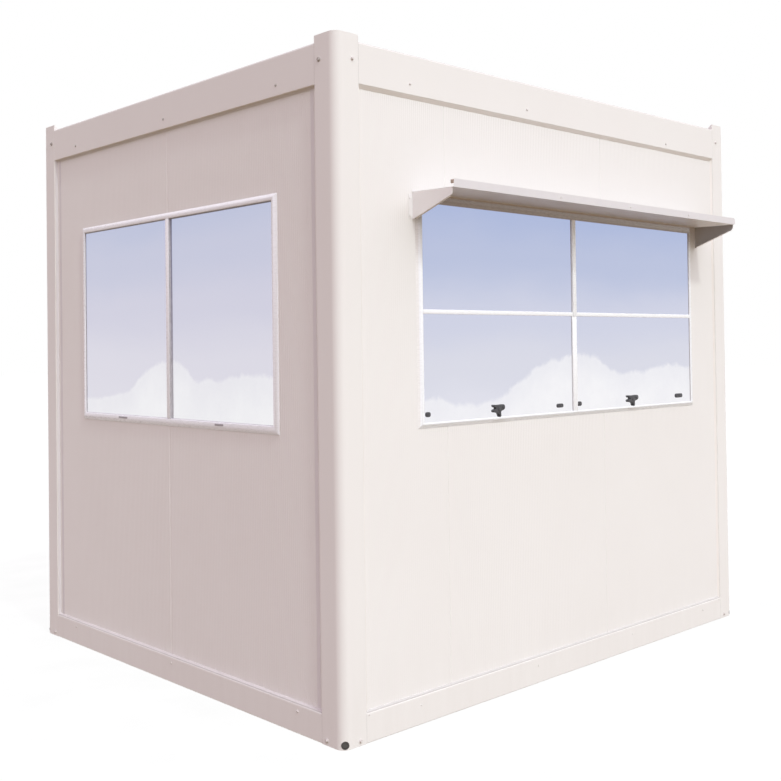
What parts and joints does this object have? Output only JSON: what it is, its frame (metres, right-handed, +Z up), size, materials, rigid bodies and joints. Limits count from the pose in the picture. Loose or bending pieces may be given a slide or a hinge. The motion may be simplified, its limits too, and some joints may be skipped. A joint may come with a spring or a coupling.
{
  "type": "prefabricated security guard booth",
  "caption": "Small prefabricated guard booth with folded steel corner posts, sandwich wall panels, wide sliding windows and a flat awning over the front window.",
  "frame": {"origin": "middle of the base on the ground, halfway between the corner posts both ways", "axes": "+Z up, the front window and its awning face -Y, +X to the right for someone who faces the front from outside"},
  "size_m": [2.99, 2.701, 2.7895],
  "materials": {
    "frame_steel": "semi-gloss powder coat, warm off-white",
    "wall_panel": "semi-gloss coated sheet with fine vertical ribs, warm off-white",
    "white_frame": "white extruded profile",
    "window_glass": "clear float glass, lightly tinted by the sky",
    "awning_steel": "semi-gloss powder coat on folded sheet",
    "black_plastic": "black moulded plastic",
    "door_paint": "semi-gloss paint",
    "door_fittings": "satin",
    "floor_board": "vinyl sheet over board",
    "roof_metal": "coated sheet"
  },
  "bodies": {
    "root": {"awning_gusset_left": "awning_steel", "awning_gusset_right": "awning_steel", "awning_sheet": "awning_steel", "bottom_beam_front": "frame_steel", "bottom_beam_left": "frame_steel", "bottom_beam_rear": "frame_steel", "bottom_beam_right": "frame_steel", "corner_post_front_left": "frame_steel", "corner_post_front_right": "frame_steel", "corner_post_rear_left": "frame_steel", "corner_post_rear_right": "frame_steel", "door_frame": "door_paint", "door_handle": "door_fittings", "door_hinges": "door_fittings", "door_leaf": "door_paint", "drain_outlets": "black_plastic", "floor_panel": "floor_board", "front_panel_left": "wall_panel", "front_panel_middle_lower": "wall_panel", "front_panel_middle_upper": "wall_panel", "front_panel_right": "wall_panel", "front_window_crossbars": "white_frame", "front_window_frame": "white_frame", "front_window_latches": "black_plastic", "front_window_lower_glass": "window_glass", "front_window_upper_glass": "window_glass", "left_panel_front": "wall_panel", "left_panel_rear": "wall_panel", "left_window_frame": "white_frame", "left_window_glass": "window_glass", "left_window_mullion": "white_frame", "rear_panel_left": "wall_panel", "rear_panel_over_door": "wall_panel", "rear_panel_right": "wall_panel", "right_panel_front": "wall_panel", "right_panel_rear": "wall_panel", "right_window_frame": "white_frame", "right_window_glass": "window_glass", "right_window_mullion": "white_frame", "roof_panel": "wall_panel", "roof_sheet": "roof_metal", "top_beam_front": "frame_steel", "top_beam_left": "frame_steel", "top_beam_rear": "frame_steel", "top_beam_right": "frame_steel"}
  },
  "joints": []
}
